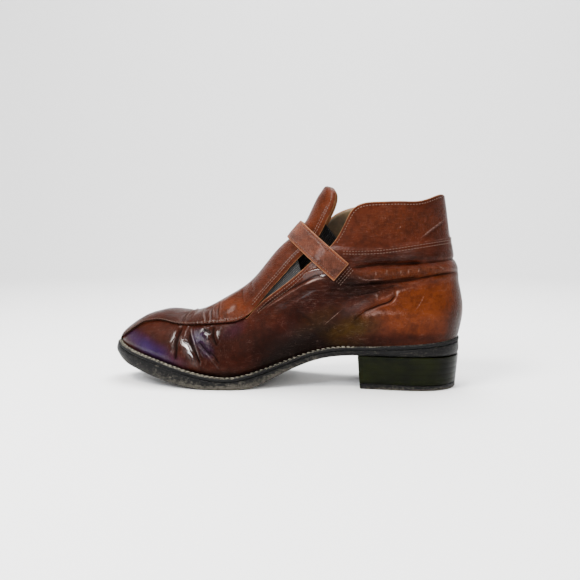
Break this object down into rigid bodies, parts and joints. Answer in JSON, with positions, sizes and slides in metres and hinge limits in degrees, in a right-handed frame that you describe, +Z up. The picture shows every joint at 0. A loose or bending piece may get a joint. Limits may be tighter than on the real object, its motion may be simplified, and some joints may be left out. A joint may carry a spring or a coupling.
{
  "type": "ankle boot",
  "caption": "Leather ankle boot with a moccasin-seam vamp strip that runs up into the tongue, elastic side gores, an instep strap and a stacked heel.",
  "frame": {"origin": "on the floor, under the middle of the boot's overall length and width", "axes": "+X from the toe to the heel, +Y towards the outer (lateral) side, +Z up"},
  "size_m": [0.3042, 0.1052, 0.1687],
  "materials": {
    "upper_leather": "burnished, glossy reddish brown",
    "strap_leather": "burnished, glossy",
    "elastic": "woven, matte grey",
    "insole_leather": "plain, matte tan",
    "welt_leather": "worn grey-beige edge",
    "sole_edge": "black, worn",
    "heel_stack": "stacked and lacquered, very dark green-black",
    "heel_rubber": "black, satin"
  },
  "bodies": {
    "root": {"outsole": "sole_edge", "welt": "welt_leather", "heel_block": "heel_stack", "heel_top_piece": "heel_rubber", "upper": "upper_leather", "vamp_strip_and_tongue": "upper_leather", "elastic_gore_medial": "elastic", "elastic_gore_lateral": "elastic", "instep_strap": "strap_leather", "insole": "insole_leather"}
  },
  "joints": []
}
